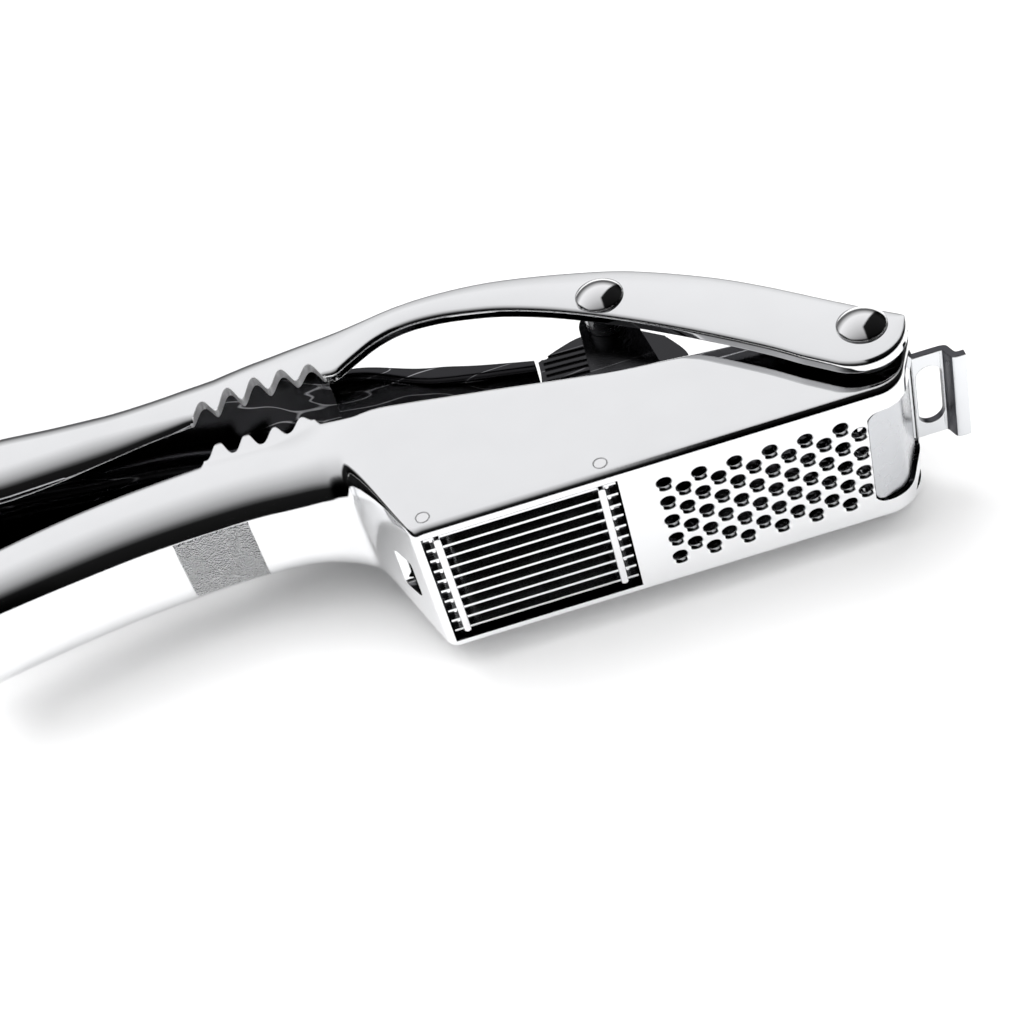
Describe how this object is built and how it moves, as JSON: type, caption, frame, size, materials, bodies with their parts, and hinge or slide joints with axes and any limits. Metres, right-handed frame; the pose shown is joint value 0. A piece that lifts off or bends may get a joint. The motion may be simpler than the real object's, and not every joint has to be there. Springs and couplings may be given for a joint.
{
  "type": "garlic press",
  "caption": "Two-chamber garlic press and slicer with a forked upper lever, a rocking pusher, a cracker between the grips and an opener tab.",
  "frame": {"origin": "centre of the flat perforated face, on the middle plane", "axes": "+X along the face from the grips towards the hinge, +Y from the face towards the upper handle, +Z across, so the press lies on its side"},
  "size_m": [0.2096, 0.0724, 0.0474],
  "materials": {
    "chrome_casting": "mirror polished plating on a zinc casting",
    "rivet_chrome": "polished",
    "pusher_casting": "plated, less polished",
    "plain_steel": "satin",
    "blade_steel": "ground",
    "tab_steel": "polished sheet",
    "washer_plastic": "moulded"
  },
  "bodies": {
    "hopper": {"body_casting": "chrome_casting", "hinge_rivet_near": "rivet_chrome", "hinge_rivet_far": "rivet_chrome", "hinge_washers": "washer_plastic", "blade_comb_left": "plain_steel", "blade_comb_right": "plain_steel", "blade_pin_left": "rivet_chrome", "blade_pin_right": "rivet_chrome", "opener_tab": "tab_steel", "slicer_blade_1": "blade_steel", "slicer_blade_2": "blade_steel", "slicer_blade_3": "blade_steel", "slicer_blade_4": "blade_steel", "slicer_blade_5": "blade_steel", "slicer_blade_6": "blade_steel", "slicer_blade_7": "blade_steel", "slicer_blade_8": "blade_steel", "slicer_blade_9": "blade_steel", "slicer_blade_10": "blade_steel"},
    "handle": {"upper_handle": "chrome_casting", "pusher_rivet": "rivet_chrome", "pusher_spacers": "plain_steel"},
    "pusher": {"pusher_carrier": "pusher_casting", "slicer_pusher": "pusher_casting", "mincing_pusher": "pusher_casting", "pusher_screws": "plain_steel"}
  },
  "joints": [
    {"name": "handle_hinge", "type": "hinge", "parent": "hopper", "child": "handle", "pos_m": [0.0462, 0.0135, 0], "axis": [0, 0, -1], "range_deg": [-4, 100]},
    {"name": "pusher_tilt", "type": "hinge", "parent": "handle", "child": "pusher", "pos_m": [0.0028, 0.0431, 0], "axis": [0, 0, 1], "range_deg": [-0.5, 12.1]}
  ],
  "couplings": [
    {"joint": "pusher_tilt", "follows": "handle_hinge", "ratio": 0.12}
  ]
}
